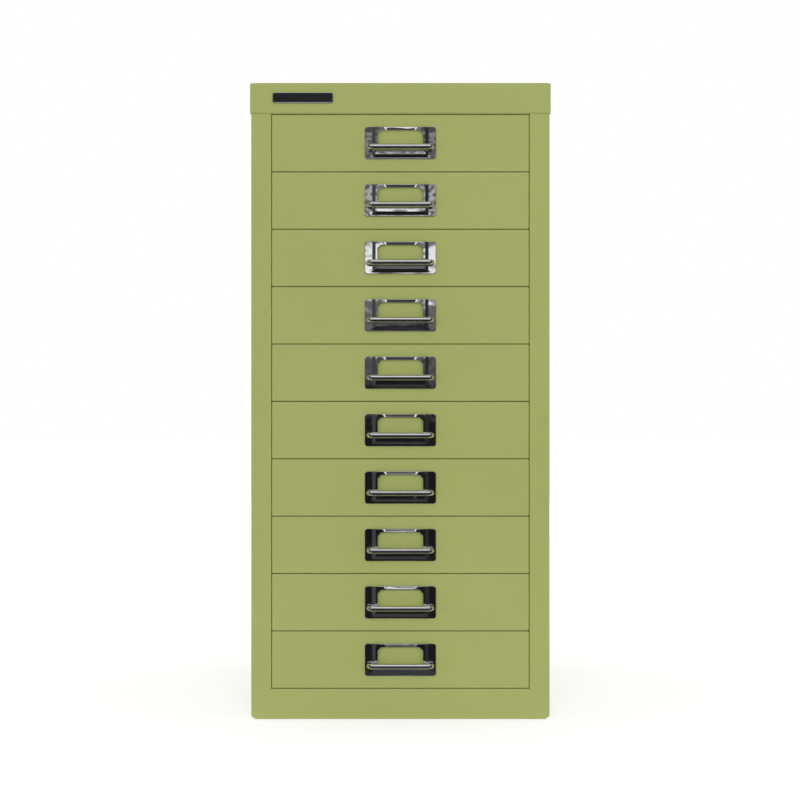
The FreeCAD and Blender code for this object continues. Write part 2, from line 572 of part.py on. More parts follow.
def build_handle_plate(label, line):
    """Pressed label holder: flat rim, raised middle open at the top, window, two holes."""
    body = new_body(label, line)
    half = "plate_width / 2"
    low = f"({PLATE_MIDDLE} - plate_height / 2)"
    high = f"({PLATE_MIDDLE} + plate_height / 2)"
    rim = new_sketch(body, "rim_face", "XZ")
    add_rectangle(rim, f"-{half}", half, low, high)
    pad(body, rim, "rim", "plate_sheet")
    round_edges(body, "corners", "plate_corner", {"x": f"-{half}", "z": low}, {"x": half, "z": low},
                {"x": f"-{half}", "z": high}, {"x": half, "z": high})

    # The raised middle slopes in at its two sides and its foot, and so does the slot behind it.
    foot_half = "(card_panel_width / 2)"
    foot_low = f"({low} + card_panel_foot)"
    face_half = f"({foot_half} - card_panel_slope)"
    face_low = f"({foot_low} + card_panel_slope)"
    panel_front = "-(card_slot + plate_sheet)"
    panel = new_sketch(body, "panel_face", "XZ")
    add_rectangle(panel, f"-{foot_half}", foot_half, foot_low, high)
    pad(body, panel, "panel", "card_slot + plate_sheet")
    slopes = new_sketch(body, "side_slopes_plan", "XY", high)
    for side in (-1, 1):
        foot_x = f"{side} * {foot_half}"
        face_x = f"{side} * {face_half}"
        add_polygon(slopes, [(foot_x, "-plate_sheet"), (foot_x, panel_front), (face_x, panel_front)])
    pocket(body, slopes, "side_slopes", f"{high} - {foot_low}")
    foot_slope = new_sketch(body, "foot_slope_section", "YZ", foot_half)
    add_polygon(foot_slope, [("-plate_sheet", foot_low), (panel_front, foot_low), (panel_front, face_low)])
    pocket(body, foot_slope, "foot_slope", f"2 * {foot_half}")
    round_edges(body, "panel_folds", "card_panel_bend",
                {"y": panel_front, "z": face_low}, {"y": panel_front, "x": f"-{face_half}"},
                {"y": panel_front, "x": face_half})

    slot_half = f"({foot_half} - card_side_inset)"
    slot_face_half = f"({face_half} - card_side_inset)"
    slot_low = f"({foot_low} + card_side_inset)"
    slot_face_low = f"({face_low} + card_side_inset)"
    slot = new_sketch(body, "slot_plan", "XY", high)
    add_polygon(slot, [(f"-{slot_half}", "0"), (slot_half, "0"), (slot_face_half, "-card_slot"),
                       (f"-{slot_face_half}", "-card_slot")])
    pocket(body, slot, "slot", f"{high} - {slot_face_low}")
    slot_foot = new_sketch(body, "slot_foot_section", "YZ", slot_face_half)
    add_polygon(slot_foot, [("0", slot_low), ("0", slot_face_low), ("-card_slot", slot_face_low)])
    pocket(body, slot_foot, "slot_foot", f"2 * {slot_face_half}")

    window_half = "window_width / 2"
    window_high = f"({high} - window_top_strip)"
    window_low = f"({window_high} - window_height)"
    window = new_sketch(body, "window_face", "XZ", "card_slot + plate_sheet")
    corner_low = f"{window_high} - window_corner"
    add_polygon(window, [
        (f"-{window_half}", window_low), (window_half, window_low), (window_half, corner_low),
        (f"{window_half} - window_corner", window_high), (f"window_corner - {window_half}", window_high),
        (f"-{window_half}", corner_low)])
    pocket(body, window, "window", "card_slot + plate_sheet")

    holes = new_sketch(body, "spigot_holes_face", "XZ", "plate_sheet")
    for side in (-1, 1):
        add_circle(holes, f"{side} * pull_span / 2", PULL_Z, "spigot_radius + spigot_hole_gap")
    pocket(body, holes, "spigot_holes", "plate_sheet")
    return body


def build_pull_bar(label, line):
    """Round bar bent back at both ends, each end stepped down to a spigot."""
    body = new_body(label, line)
    radius = "pull_diameter / 2"
    straight_half = "(pull_span / 2 - pull_elbow)"
    elbow_start = f"({PULL_Y} + pull_elbow)"

    bar = new_sketch(body, "bar_section", "YZ", f"-{straight_half}")
    add_circle(bar, PULL_Y, PULL_Z, radius)
    pad(body, bar, "bar", f"2 * {straight_half}")

    for side, name in ((-1, "left"), (1, "right")):
        bend = new_sketch(body, f"{name}_elbow_section", "XZ", f"-{elbow_start}",
                          across=f"{side} * {straight_half}")
        add_circle(bend, f"{side} * pull_elbow", PULL_Z, radius)
        revolve(body, bend, f"{name}_elbow", 90.0, reverse=side > 0)

    end_x = "pull_span / 2"
    legs = new_sketch(body, "legs_section", "XZ", "plate_sheet")
    spigots = new_sketch(body, "spigots_section", "XZ", "plate_sheet")
    for side in (-1, 1):
        add_circle(legs, f"{side} * {end_x}", PULL_Z, radius)
        add_circle(spigots, f"{side} * {end_x}", PULL_Z, "spigot_radius")
    pad(body, legs, "legs", f"-{elbow_start} - plate_sheet")
    pad(body, spigots, "spigots", f"plate_sheet + {NUT_REAR} + spigot_past_nut", reverse=True)
    return body


def build_pull_fixings(label, line):
    """Two push nuts on the spigots: a flat washer with a raised collar."""
    body = new_body(label, line)
    bore = "spigot_radius + nut_bore_gap"
    for side, name in ((-1, "left_nut"), (1, "right_nut")):
        profile = new_sketch(body, f"{name}_profile", "XY", PULL_Z, across=f"{side} * pull_span / 2")
        add_polygon(profile, [
            (bore, "front_sheet"), ("nut_radius", "front_sheet"), ("nut_radius", "front_sheet + nut_sheet"),
            ("nut_collar_radius", "front_sheet + nut_sheet"), ("nut_collar_radius", NUT_REAR),
            (bore, NUT_REAR)])
        revolve(body, profile, name)
    return body


build_side_panel("side_panel_left", -1)
build_side_panel("side_panel_right", 1)
build_top_cap()
build_back_panel()
build_base_pan()
build_top_rail()
build_runners("runners_left", -1)
build_runners("runners_right", 1)
build_feet()
build_badge_plate()
for drawer in range(1, NUMBER_OF_DRAWERS + 1):
    name = f"drawer_{drawer:02d}"
    line = f"{FIRST_LINE} + {NUMBER_OF_DRAWERS - drawer} * drawer_pitch"
    build_tray(f"{name}_tray", line)
    build_front(f"{name}_front", line)
    build_handle_plate(f"{name}_handle_plate", line)
    build_pull_bar(f"{name}_pull_bar", line)
    build_pull_fixings(f"{name}_pull_fixings", line)

doc.recompute()
for item in doc.Objects:
    if "Invalid" in item.State or "Error" in item.State:
        raise ValueError(f"{item.Name} failed to build: {item.State}")
    if item.TypeId == "PartDesign::Pocket" and item.Shape.Volume > item.BaseFeature.Shape.Volume - 0.01:
        raise ValueError(f"{item.Name} cuts nothing")
for node in NODES:
    if node.Shape.isNull() or not node.Shape.isValid():
        raise ValueError(f"{node.Label} has no valid shape")

os.makedirs("parts", exist_ok=True)
for node in NODES:
    node.Shape.exportStep(f"parts/{node.Label}.step")
    box = node.Shape.BoundBox
    print(f"{node.Label}: {len(node.Shape.Solids)} solids, {node.Shape.Volume:.0f} mm3, "
          f"x {box.XMin:.2f} to {box.XMax:.2f}, y {box.YMin:.2f} to {box.YMax:.2f}, "
          f"z {box.ZMin:.2f} to {box.ZMax:.2f}")
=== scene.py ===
"""Looks of the ten-drawer steel cabinet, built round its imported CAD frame.

The cabinet's own pieces are worked out in millimetres, and the studio round it in metres.
"""

import json
import math

import bpy
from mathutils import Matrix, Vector, noise

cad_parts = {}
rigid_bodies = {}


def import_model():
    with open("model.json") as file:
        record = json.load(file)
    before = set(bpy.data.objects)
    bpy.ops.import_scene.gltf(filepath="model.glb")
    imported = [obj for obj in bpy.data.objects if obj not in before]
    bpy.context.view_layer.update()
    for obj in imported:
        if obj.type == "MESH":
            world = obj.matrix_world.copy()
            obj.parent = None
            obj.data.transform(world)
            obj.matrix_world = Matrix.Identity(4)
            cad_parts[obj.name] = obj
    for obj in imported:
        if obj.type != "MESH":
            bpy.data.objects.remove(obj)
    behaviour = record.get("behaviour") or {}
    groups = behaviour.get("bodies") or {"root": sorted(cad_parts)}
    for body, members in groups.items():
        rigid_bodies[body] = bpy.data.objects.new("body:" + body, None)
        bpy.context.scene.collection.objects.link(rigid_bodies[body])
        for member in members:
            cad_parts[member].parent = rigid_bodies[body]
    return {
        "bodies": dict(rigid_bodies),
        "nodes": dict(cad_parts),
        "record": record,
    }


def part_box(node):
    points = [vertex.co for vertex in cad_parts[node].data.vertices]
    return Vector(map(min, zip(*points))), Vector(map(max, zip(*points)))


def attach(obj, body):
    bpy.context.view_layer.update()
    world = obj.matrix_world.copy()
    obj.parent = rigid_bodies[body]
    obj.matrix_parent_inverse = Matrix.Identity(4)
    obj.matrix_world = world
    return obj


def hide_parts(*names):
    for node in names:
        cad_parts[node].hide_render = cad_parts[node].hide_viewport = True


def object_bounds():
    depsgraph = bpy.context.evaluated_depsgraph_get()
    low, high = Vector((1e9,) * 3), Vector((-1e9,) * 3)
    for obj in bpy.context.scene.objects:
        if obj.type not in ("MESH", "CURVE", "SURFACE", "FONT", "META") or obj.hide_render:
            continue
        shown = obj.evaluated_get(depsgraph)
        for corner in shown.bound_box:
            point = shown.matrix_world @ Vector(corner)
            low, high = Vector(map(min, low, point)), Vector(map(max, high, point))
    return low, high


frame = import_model()
cad_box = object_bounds()

MM = 0.001
DRAWERS = [name for name in sorted(frame["bodies"]) if name.startswith("drawer_")]
CORNER_STEPS = 8                 # parts of a rounded corner

# Where the cabinet lies in the photo, which is 800 by 800 pixels.
IMAGE_SIDE = 800
MIDDLE_COLUMN = 400.4
CAP_TOP_ROW = 82.7
FLOOR_ROW = 719.7
CAMERA_DISTANCE = 1.80           # metres, from the front of the cap
SENSOR_WIDTH = 36.0

# Label plate. Its outline comes from the frame.
PLATE_SHEET = 0.8
PLATE_CORNER = 2.4
PLATE_EDGE = 0.38                # rounding of the pressed sheet's edges
CARD_SLOT = 1.4                  # room behind the raised middle
RAISED_HALF = 26.0
RAISED_SLOPE = 3.0               # width of the slope up from the rim at either side
RAISED_FOOT = 1.8                # height of the rim under the raised middle
FOOT_SLOPE = 2.4
FOLD_SOFTNESS = 0.35             # share of a slope's width taken by its bends
FOLD_CORNER = 0.12               # how softly the side and foot slopes meet
WINDOW_HALF = 20.95
WINDOW_STRIP = 3.3
WINDOW_HEIGHT = 16.7
WINDOW_CUT = 3.2
WINDOW_INNER_CORNER = 0.4
STRIP_LEAN = 0.03                # how steeply the strip under the window leans back towards its foot

# Tongue: the middle of the strip over the window, pressed back to hold the card.
TONGUE_DEPTH = 0.45
TONGUE_LEAN = 0.50               # how much deeper it is at its top edge
TONGUE_CURVE = 1.2               # power by which that grows on the way up
TONGUE_SPREAD = 0.2              # how much the lean differs between plates
TONGUE_DRIFT = 0.9               # how far the tongue may lie off the middle
TONGUE_HALF_LOW = 13.3
TONGUE_HALF_HIGH = 14.9
TONGUE_END = 1.6                 # width of its sloping ends
TONGUE_FADE = 2.0                # width in which the lean fades out
TONGUE_FADE_SHIFT = 0.6          # from the middle of its ends to the middle of that fade
TONGUE_SOFTNESS = 0.5            # share of both widths taken by their bends

# Unevenness of the pressed plate
PLATE_BOW = 0.12
PLATE_RIPPLE = 0.08
RIPPLE_LENGTHS = (11.0, 9.0)     # along X and along Z
FINE_RIPPLE_LENGTHS = (4.5, 5.0)
FINE_RIPPLE = 0.3                # height of the fine ripple, as a share of the long one's
SEED_STEP = 3.7                  # from one plate's noise to the next one's
LEAN_ROW = 0.5                   # rows of the noise from which the tongue's lean and drift are taken
DRIFT_ROW = 2.5

# Points of the plate's mesh: how many parts each stretch of its outline and section has.
STRAIGHT_HALF = 18.0             # up to here, the points under the window stand straight over each other
LOW_STRAIGHT_STEPS = 9
LOW_FAN_STEPS = 10
SIDE_STEPS = 26
HIGH_FAN_STEPS = 12
TONGUE_END_STEPS = 24
TONGUE_STEPS = 7
FRONT_STEPS = 36
BACK_STEPS = 14

# Pull bar
ELBOW_RADIUS = 4.2
ELBOW_STEPS = 14
SPIGOT_RADIUS = 2.0
SPIGOT_CHAMFER = 0.4
BAR_SIDES = 32
BAR_STEPS = 6

# Badge plate
BADGE_CORNER = 1.6
BADGE_LEAST_CORNER = 0.2
BADGE_BEVEL = 0.3                # of the rim's outer edge
BADGE_BEVEL_MIDDLE = 0.09        # inset and depth of the middle of its rounding
BADGE_RIM = 0.7
BADGE_LIP = 0.1                  # bevel of the rim's inner edge
BADGE_WALL = 0.15                # from that edge to the foot of the wall
BADGE_RECESS = 0.25
BADGE_FIELD_MARGIN = 0.5         # ring of the field along its wall


# Materials

NOISE_RANGE = (0.3, 0.7)         # where nearly all values of a noise lie


def new_material(name):
    material = bpy.data.materials.new(name)
    material.use_nodes = True
    tree = material.node_tree
    return material, tree, tree.nodes["Principled BSDF"]


def noise_texture(tree, scale, detail=2.0):
    """Noise fixed to the object, with its scale in cells per metre."""
    place = tree.nodes.new("ShaderNodeTexCoord")
    texture = tree.nodes.new("ShaderNodeTexNoise")
    texture.inputs["Scale"].default_value = scale
    texture.inputs["Detail"].default_value = detail
    tree.links.new(place.outputs["Object"], texture.inputs["Vector"])
    return texture.outputs["Fac"]


def spread(tree, source, low, high):
    """A noise, stretched over a range of values."""
    node = tree.nodes.new("ShaderNodeMapRange")
    node.inputs["From Min"].default_value = NOISE_RANGE[0]
    node.inputs["From Max"].default_value = NOISE_RANGE[1]
    node.inputs["To Min"].default_value = low
    node.inputs["To Max"].default_value = high
    tree.links.new(source, node.inputs["Value"])
    return node.outputs["Result"]


def smooth_step(tree, source, start, end):
    """0 where the source is at start or short of it, and 1 from end on."""
    node = tree.nodes.new("ShaderNodeMapRange")
    node.interpolation_type = "SMOOTHSTEP"
    node.inputs["From Min"].default_value = start
    node.inputs["From Max"].default_value = end
    tree.links.new(source, node.inputs["Value"])
    return node.outputs["Result"]


def mix_colours(tree, share, first, second):
    """From the first colour to the second. Each is a socket or the three parts of a plain colour."""
    node = tree.nodes.new("ShaderNodeMix")
    node.data_type = "RGBA"
    tree.links.new(share, node.inputs["Factor"])
    sockets = [socket for socket in node.inputs if socket.type == "RGBA"]
    for socket, colour in zip(sockets, (first, second)):
        if isinstance(colour, tuple):
            socket.default_value = (*colour, 1.0)
        else:
            tree.links.new(colour, socket)
    return next(socket for socket in node.outputs if socket.type == "RGBA")


def calculate(tree, operation, *sources):
    """A Math node's result. Each source is a socket or a plain number."""
    node = tree.nodes.new("ShaderNodeMath")
    node.operation = operation
    for socket, source in zip(node.inputs, sources):
        if isinstance(source, float):
            socket.default_value = source
        else:
            tree.links.new(source, socket)
    return node.outputs["Value"]


def object_place(tree):
    """Place in the piece's own frame, and its three parts."""
    place = tree.nodes.new("ShaderNodeTexCoord").outputs["Object"]
    split = tree.nodes.new("ShaderNodeSeparateXYZ")
    tree.links.new(place, split.inputs["Vector"])
    return place, split.outputs


def add_bump(tree, shader, height, distance):
    """Bump of a noise of 0 to 1, which stands for a distance in metres."""
    bump = tree.nodes.new("ShaderNodeBump")
    bump.inputs["Distance"].default_value = distance
    tree.links.new(height, bump.inputs["Height"])
    tree.links.new(bump.outputs["Normal"], shader.inputs["Normal"])


def linear(red, green, blue):
    """Scene-linear colour from the 0 to 255 values of a screen."""
    def one(value):
        value /= 255.0
        return value / 12.92 if value <= 0.04045 else ((value + 0.055) / 1.055) ** 2.4
    return one(red), one(green), one(blue)


def grey(value):
    return value, value, value


def stove_enamel():
    """Satin yellow-green enamel with a fine orange peel."""
    material, tree, shader = new_material("green_enamel")
    drift = spread(tree, noise_texture(tree, scale=7.0, detail=3.0), low=0.0, high=1.0)
    colour = mix_colours(tree, drift, linear(161, 168, 98), linear(164, 171, 101))
    tree.links.new(colour, shader.inputs["Base Color"])
    polish = spread(tree, noise_texture(tree, scale=60.0), low=0.36, high=0.44)
    tree.links.new(polish, shader.inputs["Roughness"])
    add_bump(tree, shader, noise_texture(tree, scale=750.0, detail=1.0), distance=0.00002)
    return material


def chrome_plate():
    """Bright chrome, a little uneven in its polish and duller at a grazing look."""
    material, tree, shader = new_material("chrome_plate")
    shader.inputs["Metallic"].default_value = 1.0
    shader.inputs["Specular Tint"].default_value = (0.4, 0.4, 0.4, 1.0)
    tint = spread(tree, noise_texture(tree, scale=120.0), low=0.0, high=1.0)
    colour = mix_colours(tree, tint, linear(222, 223, 226), linear(234, 235, 236))
    tree.links.new(colour, shader.inputs["Base Color"])
    polish = spread(tree, noise_texture(tree, scale=260.0), low=0.03, high=0.06)
    tree.links.new(polish, shader.inputs["Roughness"])
    return material


def zinc_plate():
    """Dull zinc of the push nuts."""
    material, tree, shader = new_material("zinc_plate")
    shader.inputs["Metallic"].default_value = 1.0
    tint = spread(tree, noise_texture(tree, scale=400.0, detail=4.0), low=0.0, high=1.0)
    colour = mix_colours(tree, tint, linear(168, 170, 176), linear(198, 198, 196))
    tree.links.new(colour, shader.inputs["Base Color"])
    polish = spread(tree, noise_texture(tree, scale=900.0), low=0.28, high=0.42)
    tree.links.new(polish, shader.inputs["Roughness"])
    return material


def black_plastic():
    """Moulded glides, lightly textured."""
    material, tree, shader = new_material("black_plastic")
    tint = spread(tree, noise_texture(tree, scale=300.0, detail=3.0), low=0.0, high=1.0)
    colour = mix_colours(tree, tint, linear(32, 32, 33), linear(46, 46, 46))
    tree.links.new(colour, shader.inputs["Base Color"])
    shader.inputs["Roughness"].default_value = 0.6
    add_bump(tree, shader, noise_texture(tree, scale=1800.0), distance=0.00003)
    return material


def black_enamel():
    """Field of the badge plate."""
    material, tree, shader = new_material("black_enamel")
    tint = spread(tree, noise_texture(tree, scale=200.0, detail=3.0), low=0.0, high=1.0)
    colour = mix_colours(tree, tint, linear(24, 25, 27), linear(34, 35, 37))
    tree.links.new(colour, shader.inputs["Base Color"])
    polish = spread(tree, noise_texture(tree, scale=500.0), low=0.16, high=0.24)
    tree.links.new(polish, shader.inputs["Roughness"])
    return material


# Pieces


def mesh_object(name, points, faces, materials, face_material=None):
    """A smooth-shaded mesh piece from points in millimetres."""
    mesh = bpy.data.meshes.new(name)
    mesh.from_pydata([[value * MM for value in point] for point in points], [], faces)
    for material in materials:
        mesh.materials.append(material)
    for index, polygon in enumerate(mesh.polygons):
        polygon.use_smooth = True
        if face_material:
            polygon.material_index = face_material[index]
    mesh.validate()
    piece = bpy.data.objects.new(name, mesh)
    bpy.context.scene.collection.objects.link(piece)
    return piece


def ring_faces(loops, count):
    """Quads between consecutive loops of count points."""
    faces = []
    for loop in range(loops - 1):
        here = loop * count
        for i in range(count):
            j = (i + 1) % count
            faces.append((here + i, here + j, here + count + j, here + count + i))
    return faces


def steps(start, end, count):
    return [start + (end - start) * i / count for i in range(count + 1)]


def arc(centre, radius, start, end, count):
    """Points on an arc, with its angles in degrees."""
    angles = [math.radians(angle) for angle in steps(start, end, count)]
    return [(centre[0] + radius * math.cos(a), centre[1] + radius * math.sin(a)) for a in angles]


def soft_clamp(value, softness):
    """Clamp to 0 to 1, with its two corners rounded over softness."""
    def area(v):
        return 0.0 if v < 0 else v * v / 2 if v < 1 else v - 0.5
    return (area(value + softness / 2) - area(value - softness / 2)) / softness


def soft_minimum(a, b, softness):
    return -softness * math.log(math.exp(-a / softness) + math.exp(-b / softness))


def plate_outline(half_width, half_height):
    """Pairs of an outer and a window point, right round the plate."""
    window_high = half_height - WINDOW_STRIP
    window_low = window_high - WINDOW_HEIGHT
    corner_x = half_width - PLATE_CORNER
    corner_z = half_height - PLATE_CORNER
    inner_x = WINDOW_HALF - WINDOW_INNER_CORNER
    inner_z = window_low + WINDOW_INNER_CORNER
    cut_x = WINDOW_HALF - WINDOW_CUT
    cut_z = window_high - WINDOW_CUT
    past_tongue = TONGUE_HALF_HIGH + TONGUE_END
    on_tongue = TONGUE_HALF_LOW - TONGUE_END

    def fan(outer, inner):
        """Pairs of points of two stretches, without the first, which the stretch before has."""
        return list(zip(outer[1:], inner[1:]))

    def rows(half_widths, height):
        return [(x, height) for x in half_widths]

    under = steps(0.0, STRAIGHT_HALF, LOW_STRAIGHT_STEPS)
    over = steps(past_tongue, on_tongue, TONGUE_END_STEPS) + steps(on_tongue, 0.0, TONGUE_STEPS)[1:]
    right = list(zip(rows(under, -half_height), rows(under, window_low)))
    right += fan(rows(steps(STRAIGHT_HALF, corner_x, LOW_FAN_STEPS), -half_height),
                 rows(steps(STRAIGHT_HALF, inner_x, LOW_FAN_STEPS), window_low))
    right += fan(arc((corner_x, -corner_z), PLATE_CORNER, -90, 0, CORNER_STEPS),
                 arc((inner_x, inner_z), WINDOW_INNER_CORNER, -90, 0, CORNER_STEPS))
    right += fan([(half_width, z) for z in steps(-corner_z, corner_z, SIDE_STEPS)],
                 [(WINDOW_HALF, z) for z in steps(inner_z, cut_z, SIDE_STEPS)])
    right += fan(arc((corner_x, corner_z), PLATE_CORNER, 0, 90, CORNER_STEPS),
                 list(zip(steps(WINDOW_HALF, cut_x, CORNER_STEPS), steps(cut_z, window_high, CORNER_STEPS))))
    right += fan(rows(steps(corner_x, past_tongue, HIGH_FAN_STEPS), half_height),
                 rows(steps(cut_x, past_tongue, HIGH_FAN_STEPS), window_high))
    right += fan(rows(over, half_height), rows(over, window_high))
    left = [((-outer[0], outer[1]), (-inner[0], inner[1])) for outer, inner in right[-2:0:-1]]
    return right + left


def plate_variation(seed, row):
    return noise.noise(Vector((seed, row, 0.5)))


def tongue_depth(x, z, half_height, seed):
    """How far the strip over the window is pressed back."""
    up = min(max((z - half_height + WINDOW_STRIP) / WINDOW_STRIP, 0.0), 1.0)
    drift = TONGUE_DRIFT * plate_variation(seed, DRIFT_ROW)
    past_end = abs(x - drift) - TONGUE_HALF_LOW - (TONGUE_HALF_HIGH - TONGUE_HALF_LOW) * up
    lean = TONGUE_LEAN * (1.0 + TONGUE_SPREAD * plate_variation(seed, LEAN_ROW))
    depth = TONGUE_DEPTH * soft_clamp(0.5 - past_end / TONGUE_END, TONGUE_SOFTNESS)
    past_fade = (past_end - TONGUE_FADE_SHIFT) / TONGUE_FADE
    return depth + lean * up ** TONGUE_CURVE * soft_clamp(0.5 - past_fade, TONGUE_SOFTNESS)


def plate_ripple(x, z, seed):
    long_wave = noise.noise(Vector((x / RIPPLE_LENGTHS[0], z / RIPPLE_LENGTHS[1], seed)))
    fine_wave = noise.noise(Vector((x / FINE_RIPPLE_LENGTHS[0], z / FINE_RIPPLE_LENGTHS[1], seed)))
    return long_wave + FINE_RIPPLE * fine_wave


def plate_height(x, z, half_width, half_height, seed):
    """How far the plate's front stands ahead of its flat rim."""
    in_from_side = (RAISED_HALF - abs(x)) / RAISED_SLOPE
    up_from_foot = (z + half_height - RAISED_FOOT) / FOOT_SLOPE
    inset = soft_minimum(in_from_side, up_from_foot, FOLD_CORNER)
    under_window = max(half_height - WINDOW_STRIP - WINDOW_HEIGHT - z, 0.0)
    height = (CARD_SLOT - STRIP_LEAN * under_window) * soft_clamp(inset, FOLD_SOFTNESS)
    height -= tongue_depth(x, z, half_height, seed)
    bow = 1.0 - (x / half_width) ** 2
    return height + PLATE_BOW * bow + PLATE_RIPPLE * (1.0 + plate_ripple(x, z, seed))


def plate_section():
    """Round one strip of the plate: (share from rim to window, inset from the near edge, depth)."""
    turn = [math.radians(angle) for angle in (0, 30, 60, 90)]
    front_edge = [(PLATE_EDGE * (1 - math.cos(a)), PLATE_EDGE * (1 - math.sin(a))) for a in turn]
    back_edge = [(inset, PLATE_SHEET - depth) for inset, depth in reversed(front_edge)]
    section = [(0.0, inset, depth) for inset, depth in front_edge]
    section += [(share, None, 0.0) for share in steps(0.0, 1.0, FRONT_STEPS)[1:-1]]
    section += [(1.0, inset, depth) for inset, depth in reversed(front_edge)]
    section += [(1.0, inset, depth) for inset, depth in reversed(back_edge)]
    section += [(share, None, PLATE_SHEET) for share in steps(1.0, 0.0, BACK_STEPS)[1:-1]]
    section += [(0.0, inset, depth) for inset, depth in back_edge]
    return section


def strip_place(outer, inner, share, inset):
    """Place between the plate's rim and its window, at an inset from the nearer of them or at a share."""
    inward = (inner - outer).normalized()
    if inset is None:
        start = outer + inward * PLATE_EDGE
        return start.lerp(inner - inward * PLATE_EDGE, share)
    return outer + inward * inset if share < 0.5 else inner - inward * inset


def build_label_plate(body, seed, material):
    """Pressed and chromed label holder, with a sloping surround and a tongue over its window."""
    node = f"{body}_handle_plate"
    low, high = (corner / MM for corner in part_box(node))
    centre = (low + high) / 2
    half_width = (high.x - low.x) / 2
    half_height = (high.z - low.z) / 2
    outline = [(Vector(outer), Vector(inner)) for outer, inner in plate_outline(half_width, half_height)]
    section = plate_section()
    points = []
    for share, inset, depth in section:
        for outer, inner in outline:
            place = strip_place(outer, inner, share, inset)
            front = PLATE_SHEET + plate_height(place.x, place.y, half_width, half_height, seed)
            points.append((centre.x + place.x, high.y - front + depth, centre.z + place.y))
    count = len(outline)
    faces = ring_faces(len(section), count)
    last = (len(section) - 1) * count
    faces += [(last + i, last + (i + 1) % count, (i + 1) % count, i) for i in range(count)]
    piece = mesh_object(f"{body}_label_plate", points, faces, [material])
    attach(piece, body)
    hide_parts(node)


def build_pull(body, material):
    """Round bar with bent ends, each stepped down to the spigot that holds it."""
    node = f"{body}_pull_bar"
    low, high = (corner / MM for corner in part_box(node))
    plate_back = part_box(f"{body}_handle_plate")[1].y / MM
    plate_front = plate_back - PLATE_SHEET
    radius = (high.z - low.z) / 2
    end_x = high.x - radius
    bar_y = low.y + radius
    centre_z = (low.z + high.z) / 2
    elbow = (end_x - ELBOW_RADIUS, bar_y + ELBOW_RADIUS)

    # Stations along the right half: x, y, direction of the path in degrees, radius there.
    half = [(end_x, high.y, 90.0, SPIGOT_RADIUS - SPIGOT_CHAMFER),
            (end_x, high.y - SPIGOT_CHAMFER, 90.0, SPIGOT_RADIUS),
            (end_x, plate_front, 90.0, SPIGOT_RADIUS),
            (end_x, plate_front, 90.0, radius)]
    bend = arc(elbow, ELBOW_RADIUS, 0, -90, ELBOW_STEPS)
    half += [(x, y, 90.0 - angle, radius) for (x, y), angle in zip(bend, steps(0.0, 90.0, ELBOW_STEPS))]
    half += [(x, bar_y, 0.0, radius) for x in steps(elbow[0], 0.0, BAR_STEPS)[1:]]
    whole = half + [(-x, y, -angle, r) for x, y, angle, r in half[-2::-1]]

    points = []
    for x, y, direction, r in whole:
        across = math.radians(direction - 90.0)
        for i in range(BAR_SIDES):
            turn = 2 * math.pi * i / BAR_SIDES
            out = r * math.cos(turn)
            points.append((x + out * math.cos(across), y + out * math.sin(across),
                           centre_z + r * math.sin(turn)))
    faces = ring_faces(len(whole), BAR_SIDES)
    faces.append(tuple(reversed(range(BAR_SIDES))))
    last = (len(whole) - 1) * BAR_SIDES
    faces.append(tuple(range(last, last + BAR_SIDES)))
    piece = mesh_object(f"{body}_pull", points, faces, [material])
    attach(piece, body)
    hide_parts(node)


def rounded_rectangle(half_width, half_height, radius):
    points = []
    for turn, (sx, sz) in enumerate(((1, 1), (-1, 1), (-1, -1), (1, -1))):
        centre = (sx * (half_width - radius), sz * (half_height - radius))
        points += arc(centre, radius, 90 * turn, 90 * turn + 90, CORNER_STEPS)
    return points


def build_badge(rim_material, field_material):
    """Blank badge: a bright rim round a recessed black field."""
    low, high = (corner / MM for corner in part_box("badge_plate"))
    centre = (low + high) / 2
    half_width = (high.x - low.x) / 2
    half_height = (high.z - low.z) / 2
    # Loops round the badge, from its back to its field: inset from the outline, and Y.
    rim = [(0.0, high.y), (0.0, low.y + BADGE_BEVEL),
           (BADGE_BEVEL_MIDDLE, low.y + BADGE_BEVEL_MIDDLE), (BADGE_BEVEL, low.y),
           (BADGE_RIM, low.y), (BADGE_RIM + BADGE_LIP, low.y + BADGE_LIP),
           (BADGE_RIM + BADGE_WALL, low.y + BADGE_RECESS)]
    loops = rim + [(BADGE_RIM + BADGE_FIELD_MARGIN, low.y + BADGE_RECESS)]
    points = []
    for inset, y in loops:
        radius = max(BADGE_CORNER - inset, BADGE_LEAST_CORNER)
        for x, z in rounded_rectangle(half_width - inset, half_height - inset, radius):
            points.append((centre.x + x, y, centre.z + z))
    count = len(points) // len(loops)
    faces = ring_faces(len(loops), count)
    material_of = [0 if index < (len(rim) - 1) * count else 1 for index in range(len(faces))]
    faces.append(tuple(reversed(range(count))))
    material_of.append(0)
    last = (len(loops) - 1) * count
    faces.append(tuple(range(last, last + count)))
    material_of.append(1)
    piece = mesh_object("badge_blank", points, faces, [rim_material, field_material], material_of)
    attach(piece, "casing")
    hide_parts("badge_plate")


def dress_cad_nodes(materials):
    """Give each shown CAD node its finish, by the slot that the record names."""
    slot_of = {entry["node"]: entry["material_slot"] for entry in frame["record"]["subparts"]}
    for name, node in frame["nodes"].items():
        node.data.materials.clear()
        node.data.materials.append(materials[slot_of[name]])


# Studio, in metres, watts and degrees

